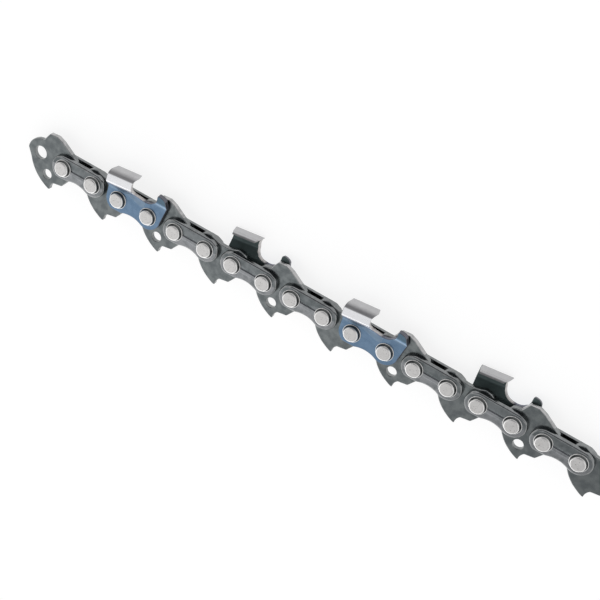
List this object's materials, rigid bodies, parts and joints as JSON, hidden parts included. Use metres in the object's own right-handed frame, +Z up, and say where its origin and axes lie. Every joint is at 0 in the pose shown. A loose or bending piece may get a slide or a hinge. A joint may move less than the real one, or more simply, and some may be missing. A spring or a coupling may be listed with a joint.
{
  "type": "saw chain length",
  "caption": "Straight length of saw chain: hooked drive links turn on rivets between tie straps, with folded chisel cutters on alternate sides, ready to be joined at its end links.",
  "frame": {"origin": "middle of the length and of the depth, on the surface that the chain lies on", "axes": "+X the way the chain runs, +Y the side its cutters point to, +Z up along the rivets"},
  "size_m": [0.185, 0.0188, 0.0081],
  "materials": {
    "drive_link_steel": "hardened steel, dark grey, oiled",
    "strap_steel": "hardened steel, dark grey, tumbled",
    "cutter_steel": "blued steel, plated bright on the folded side and top",
    "rivet_steel": "bright steel, peened"
  },
  "bodies": {
    "drive_link_01": {"ramp_drive_link_01": "drive_link_steel"},
    "drive_link_02": {"plain_drive_link_02": "drive_link_steel"},
    "drive_link_03": {"ramp_drive_link_03": "drive_link_steel"},
    "drive_link_04": {"plain_drive_link_04": "drive_link_steel"},
    "drive_link_05": {"ramp_drive_link_05": "drive_link_steel"},
    "drive_link_06": {"plain_drive_link_06": "drive_link_steel"},
    "drive_link_07": {"ramp_drive_link_07": "drive_link_steel"},
    "drive_link_08": {"plain_drive_link_08": "drive_link_steel"},
    "drive_link_09": {"ramp_drive_link_09": "drive_link_steel"},
    "drive_link_10": {"plain_drive_link_10": "drive_link_steel"},
    "outer_link_01": {"near_strap_01": "strap_steel", "far_strap_01": "strap_steel", "rear_rivet_01": "rivet_steel", "front_rivet_01": "rivet_steel"},
    "outer_link_02": {"near_cutter_02": "cutter_steel", "far_strap_02": "strap_steel", "rear_rivet_02": "rivet_steel", "front_rivet_02": "rivet_steel"},
    "outer_link_03": {"near_strap_03": "strap_steel", "far_strap_03": "strap_steel", "rear_rivet_03": "rivet_steel", "front_rivet_03": "rivet_steel"},
    "outer_link_04": {"near_strap_04": "strap_steel", "far_cutter_04": "cutter_steel", "rear_rivet_04": "rivet_steel", "front_rivet_04": "rivet_steel"},
    "outer_link_05": {"near_strap_05": "strap_steel", "far_strap_05": "strap_steel", "rear_rivet_05": "rivet_steel", "front_rivet_05": "rivet_steel"},
    "outer_link_06": {"near_cutter_06": "cutter_steel", "far_strap_06": "strap_steel", "rear_rivet_06": "rivet_steel", "front_rivet_06": "rivet_steel"},
    "outer_link_07": {"near_strap_07": "strap_steel", "far_strap_07": "strap_steel", "rear_rivet_07": "rivet_steel", "front_rivet_07": "rivet_steel"},
    "outer_link_08": {"near_strap_08": "strap_steel", "far_cutter_08": "cutter_steel", "rear_rivet_08": "rivet_steel", "front_rivet_08": "rivet_steel"},
    "outer_link_09": {"near_strap_09": "strap_steel", "far_strap_09": "strap_steel", "rear_rivet_09": "rivet_steel", "front_rivet_09": "rivet_steel"}
  },
  "joints": [
    {"name": "front_pivot_05", "type": "hinge", "parent": "outer_link_05", "child": "drive_link_06", "pos_m": [0.00495, -0.00002, 0.00403], "axis": [0, 0, -1], "range_deg": [-18, 45]},
    {"name": "rear_pivot_06", "type": "hinge", "parent": "drive_link_06", "child": "outer_link_06", "pos_m": [0.01369, -0.00002, 0.00403], "axis": [0, 0, 1], "range_deg": [-45, 18]},
    {"name": "front_pivot_06", "type": "hinge", "parent": "outer_link_06", "child": "drive_link_07", "pos_m": [0.02359, -0.00002, 0.00403], "axis": [0, 0, -1], "range_deg": [-18, 45]},
    {"name": "rear_pivot_07", "type": "hinge", "parent": "drive_link_07", "child": "outer_link_07", "pos_m": [0.03233, -0.00002, 0.00403], "axis": [0, 0, 1], "range_deg": [-45, 18]},
    {"name": "front_pivot_07", "type": "hinge", "parent": "outer_link_07", "child": "drive_link_08", "pos_m": [0.04223, -0.00002, 0.00403], "axis": [0, 0, -1], "range_deg": [-18, 45]},
    {"name": "rear_pivot_08", "type": "hinge", "parent": "drive_link_08", "child": "outer_link_08", "pos_m": [0.05097, -0.00002, 0.00403], "axis": [0, 0, 1], "range_deg": [-45, 18]},
    {"name": "front_pivot_08", "type": "hinge", "parent": "outer_link_08", "child": "drive_link_09", "pos_m": [0.06087, -0.00002, 0.00403], "axis": [0, 0, -1], "range_deg": [-18, 45]},
    {"name": "rear_pivot_09", "type": "hinge", "parent": "drive_link_09", "child": "outer_link_09", "pos_m": [0.06961, -0.00002, 0.00403], "axis": [0, 0, 1], "range_deg": [-45, 18]},
    {"name": "front_pivot_09", "type": "hinge", "parent": "outer_link_09", "child": "drive_link_10", "pos_m": [0.07951, -0.00002, 0.00403], "axis": [0, 0, -1], "range_deg": [-18, 45]},
    {"name": "rear_pivot_05", "type": "hinge", "parent": "outer_link_05", "child": "drive_link_05", "pos_m": [-0.00495, -0.00002, 0.00403], "axis": [0, 0, 1], "range_deg": [-18, 45]},
    {"name": "front_pivot_04", "type": "hinge", "parent": "drive_link_05", "child": "outer_link_04", "pos_m": [-0.01369, -0.00002, 0.00403], "axis": [0, 0, -1], "range_deg": [-45, 18]},
    {"name": "rear_pivot_04", "type": "hinge", "parent": "outer_link_04", "child": "drive_link_04", "pos_m": [-0.02359, -0.00002, 0.00403], "axis": [0, 0, 1], "range_deg": [-18, 45]},
    {"name": "front_pivot_03", "type": "hinge", "parent": "drive_link_04", "child": "outer_link_03", "pos_m": [-0.03233, -0.00002, 0.00403], "axis": [0, 0, -1], "range_deg": [-45, 18]},
    {"name": "rear_pivot_03", "type": "hinge", "parent": "outer_link_03", "child": "drive_link_03", "pos_m": [-0.04223, -0.00002, 0.00403], "axis": [0, 0, 1], "range_deg": [-18, 45]},
    {"name": "front_pivot_02", "type": "hinge", "parent": "drive_link_03", "child": "outer_link_02", "pos_m": [-0.05097, -0.00002, 0.00403], "axis": [0, 0, -1], "range_deg": [-45, 18]},
    {"name": "rear_pivot_02", "type": "hinge", "parent": "outer_link_02", "child": "drive_link_02", "pos_m": [-0.06087, -0.00002, 0.00403], "axis": [0, 0, 1], "range_deg": [-18, 45]},
    {"name": "front_pivot_01", "type": "hinge", "parent": "drive_link_02", "child": "outer_link_01", "pos_m": [-0.06961, -0.00002, 0.00403], "axis": [0, 0, -1], "range_deg": [-45, 18]},
    {"name": "rear_pivot_01", "type": "hinge", "parent": "outer_link_01", "child": "drive_link_01", "pos_m": [-0.07951, -0.00002, 0.00403], "axis": [0, 0, 1], "range_deg": [-18, 45]}
  ]
}
